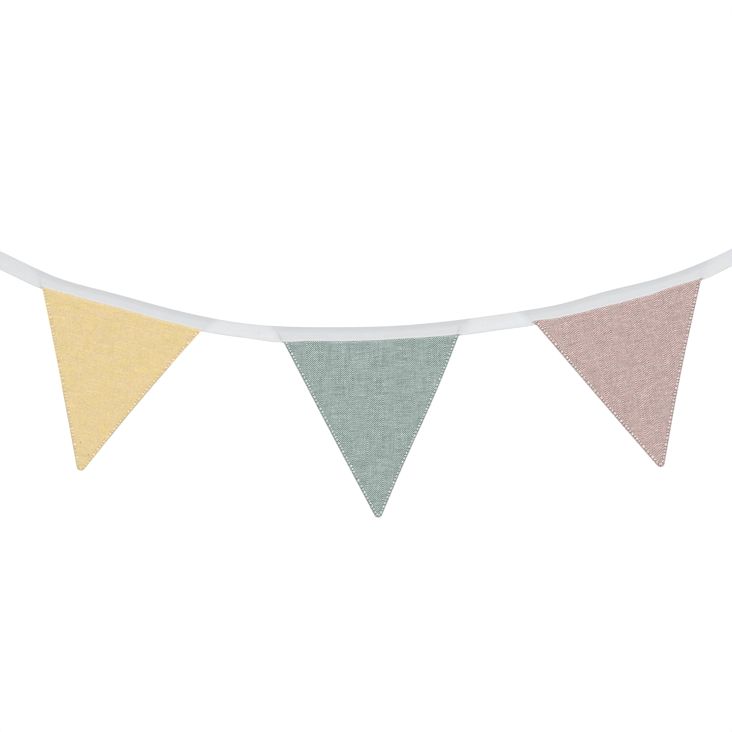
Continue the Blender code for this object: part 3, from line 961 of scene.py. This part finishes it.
def stitches(name, starts, ends, normals, tones, width, height, material):
    """Short arched threads, each from one needle hole to the next, as one piece."""
    parts = np.array((0.0, 0.1, 0.28, 0.5, 0.72, 0.9, 1.0))
    swell = np.array((0.35, 0.75, 0.95, 1.0, 0.95, 0.75, 0.35))
    lift = -0.14 + 0.24 * np.sqrt(np.maximum(0.0, np.sin(math.pi * parts)))
    way = unit(ends - starts)
    side = unit(np.cross(way, normals))
    up = np.cross(side, way)
    turn = 2.0 * math.pi * np.arange(THREAD_ROUND) / THREAD_ROUND
    centre = starts[:, None] + (ends - starts)[:, None] * parts[None, :, None]
    centre = centre + normals[:, None] * lift[None, :, None]
    reach = side[:, None, None] * (0.5 * width[:, None] * np.cos(turn))[:, None, :, None]
    reach = reach + up[:, None, None] * (0.5 * height * np.sin(turn))[None, None, :, None]
    points = centre[:, :, None] + reach * swell[None, :, None, None]
    many, rings, around = points.shape[:3]
    at = np.arange(many * rings * around).reshape(many, rings, around)
    nexts = np.roll(at, -1, 2)
    quads = np.stack((at[:, :-1], nexts[:, :-1], nexts[:, 1:], at[:, 1:]), -1).reshape(-1, 4)
    faces = quads.tolist() + at[:, 0, ::-1].tolist() + at[:, -1].tolist()
    length = np.linalg.norm(ends - starts, axis=1)
    along = np.broadcast_to((length[:, None] * parts)[:, :, None], at.shape)
    around_part = np.broadcast_to(np.arange(around) / around, at.shape)
    uv = np.stack((along.ravel(), around_part.ravel()), -1)
    tone = np.broadcast_to(tones[:, None, None], at.shape)
    return new_mesh(name, points.reshape(-1, 3), faces, uv, {"tone": tone.ravel()}, material)


def shortened(points, gap, slant, ways_across):
    """Starts and ends of the stitches between needle holes, a little apart and a little slanted."""
    starts, ends = points[:-1], points[1:]
    step = ends - starts
    return starts + step * gap - ways_across * slant, ends - step * gap + ways_across * slant


def pennant_stitches(pennant, material):
    seam = np.stack(seam_path(pennant, PENNANT_SEAM), -1)
    holes = along_path(seam, pennant.pitch, uneven=UNEVEN)
    way = unit(np.diff(holes, axis=0))
    across = np.stack((way[:, 1], -way[:, 0]), -1)
    at_left = holes[:-1, 0] < pennant.point_right * holes[:-1, 1] / pennant.length
    slant, inward = [np.where(at_left, *pair)[:, None] for pair in (STITCH_SLANTS, STITCH_INWARDS)]
    starts, ends = [places + across * inward for places in shortened(holes, STITCH_GAP, slant, across)]
    weave = WEAVES[pennant.name]
    # the stitches down the left side are painted darker than those up the right: painted shade
    tones = np.where(at_left, weave.thread_left, weave.thread_right)
    drawn = np.random.default_rng(TONE_SEED).uniform(-1.0, 1.0, len(tones))
    tones = np.tile(tones * (1.0 + STITCH_TONES * drawn), 2)
    widths = np.tile(np.where(at_left, *STITCH_WIDTHS), 2)
    half = cloth_half(np.full(len(starts), PENNANT_SEAM))
    all_starts, all_ends, normals = [], [], []
    for side in (-1.0, 1.0):
        for places, found in ((starts, all_starts), (ends, all_ends)):
            x, z = front_view(pennant, places[:, 0], places[:, 1])
            y = pennant_depth(pennant, places[:, 0], places[:, 1]) + side * (half + 0.02)
            found.append(np.stack((x, y, z), -1))
        normals.append(np.tile((0.0, side, 0.0), (len(starts), 1)))
    return stitches("stitches_" + pennant.name, np.concatenate(all_starts), np.concatenate(all_ends),
                    np.concatenate(normals), tones, widths, STITCH_HEIGHT, material)


def tape_stitches(material):
    x = np.linspace(TAPE_LEFT + 0.8, TAPE_RIGHT - 0.8, 1600)
    x = along_path(np.stack((x, fold_height(x)), -1), TAPE_PITCH)[:, 0]
    all_starts, all_ends, normals = [], [], []
    for side in (1.0, -1.0):
        spots, ways = tape_face(x, leaf_width(FRONT_KNOTS, x) - TAPE_SEAM, side)
        across = hanging_frames(x[:-1])[3]
        starts, ends = shortened(spots, TAPE_STITCH_GAP, TAPE_STITCH_SLANT * side, across)
        all_starts.append(starts)
        all_ends.append(ends)
        normals.append(ways[:-1])
    for hem_x in (TAPE_LEFT + END_HEM - HEM_SEAM, TAPE_RIGHT - END_HEM + HEM_SEAM):
        deep = np.arange(1.4, float(leaf_width(FRONT_KNOTS, np.array(hem_x))) - 1.6, HEM_PITCH)
        for side, outward in ((1.0, 0.0), (-1.0, 2.0 * HEM_RADIUS)):
            spots, ways = tape_face(np.full(deep.shape, hem_x), deep, side, outward)
            step = HEM_STITCH_GAP * np.diff(spots, axis=0)
            all_starts.append(spots[:-1] + step)
            all_ends.append(spots[1:] - step)
            normals.append(ways[:-1])
    starts = np.concatenate(all_starts)
    return stitches("stitches_tape", starts, np.concatenate(all_ends), np.concatenate(normals),
                    np.ones(len(starts)), np.full(len(starts), TAPE_STITCH_WIDTH), TAPE_STITCH_HEIGHT,
                    material)


# The bunting

tape_threads = tape_stitches(thread("thread_tape", (0.84, 0.85, 0.86)))
tape = tape_piece(tape_cotton([(tape_run(x), down) for x, down in PIN_HOLES]))
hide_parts("binding_tape")
for pennant in PENNANTS:
    weave = WEAVES[pennant.name]
    flecks = [weave_place(weave, u, v) for u, v in FLECKS[pennant.name]]
    cloth = pennant_piece(pennant, herringbone(pennant.name + "_herringbone", weave, flecks))
    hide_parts("pennant_" + pennant.name)
    seam = pennant_stitches(pennant, thread("thread_" + pennant.name, weave.thread))


# Floor, light and camera


def plain(name, colour):
    material = bpy.data.materials.new(name)
    material.use_nodes = True
    shader = material.node_tree.nodes["Principled BSDF"]
    shader.inputs["Base Color"].default_value = (*colour, 1.0)
    shader.inputs["Roughness"].default_value = 0.95
    return material


FLOOR_Z = -0.62
floor_mesh = bpy.data.meshes.new("floor")
floor_corners = [(-1.6, -1.8, FLOOR_Z), (2.2, -1.8, FLOOR_Z), (2.2, 2.2, FLOOR_Z), (-1.6, 2.2, FLOOR_Z)]
floor_mesh.from_pydata(floor_corners, [], [(0, 1, 2, 3)])
floor_mesh.materials.append(plain("floor", (0.86, 0.86, 0.86)))
floor = bpy.data.objects.new("floor", floor_mesh)
bpy.context.scene.collection.objects.link(floor)

world = bpy.data.worlds.new("studio")
bpy.context.scene.world = world
world.use_nodes = True
background = world.node_tree.nodes["Background"]
background.inputs["Color"].default_value = (1.0, 1.0, 1.0, 1.0)
background.inputs["Strength"].default_value = 1.01

lamp = bpy.data.lights.new("soft_front", "AREA")
lamp.shape = "SQUARE"
lamp.size = 1.4
lamp.energy = 7.0
lamp_object = bpy.data.objects.new("soft_front", lamp)
lamp_object.location = (0.55, -1.9, -0.40)
lamp_object.rotation_euler = (math.radians(100.0), 0.0, math.radians(7.0))
bpy.context.scene.collection.objects.link(lamp_object)

# The photograph shows 610 mm across, square on, so the lens is long and stands level with its middle
VIEW_X, VIEW_Z, VIEW_WIDTH, VIEW_BACK = 0.318583, -0.095325, 0.610, 4.0
camera_data = bpy.data.cameras.new("camera")
camera_data.sensor_width = 36.0
camera_data.lens = 36.0 * VIEW_BACK / VIEW_WIDTH
camera_data.clip_end = 50.0
camera = bpy.data.objects.new("camera", camera_data)
camera.location = (VIEW_X, -VIEW_BACK, VIEW_Z)
camera.rotation_euler = (math.pi / 2.0, 0.0, 0.0)
bpy.context.scene.collection.objects.link(camera)
bpy.context.scene.camera = camera
bpy.context.scene.view_settings.view_transform = "Standard"
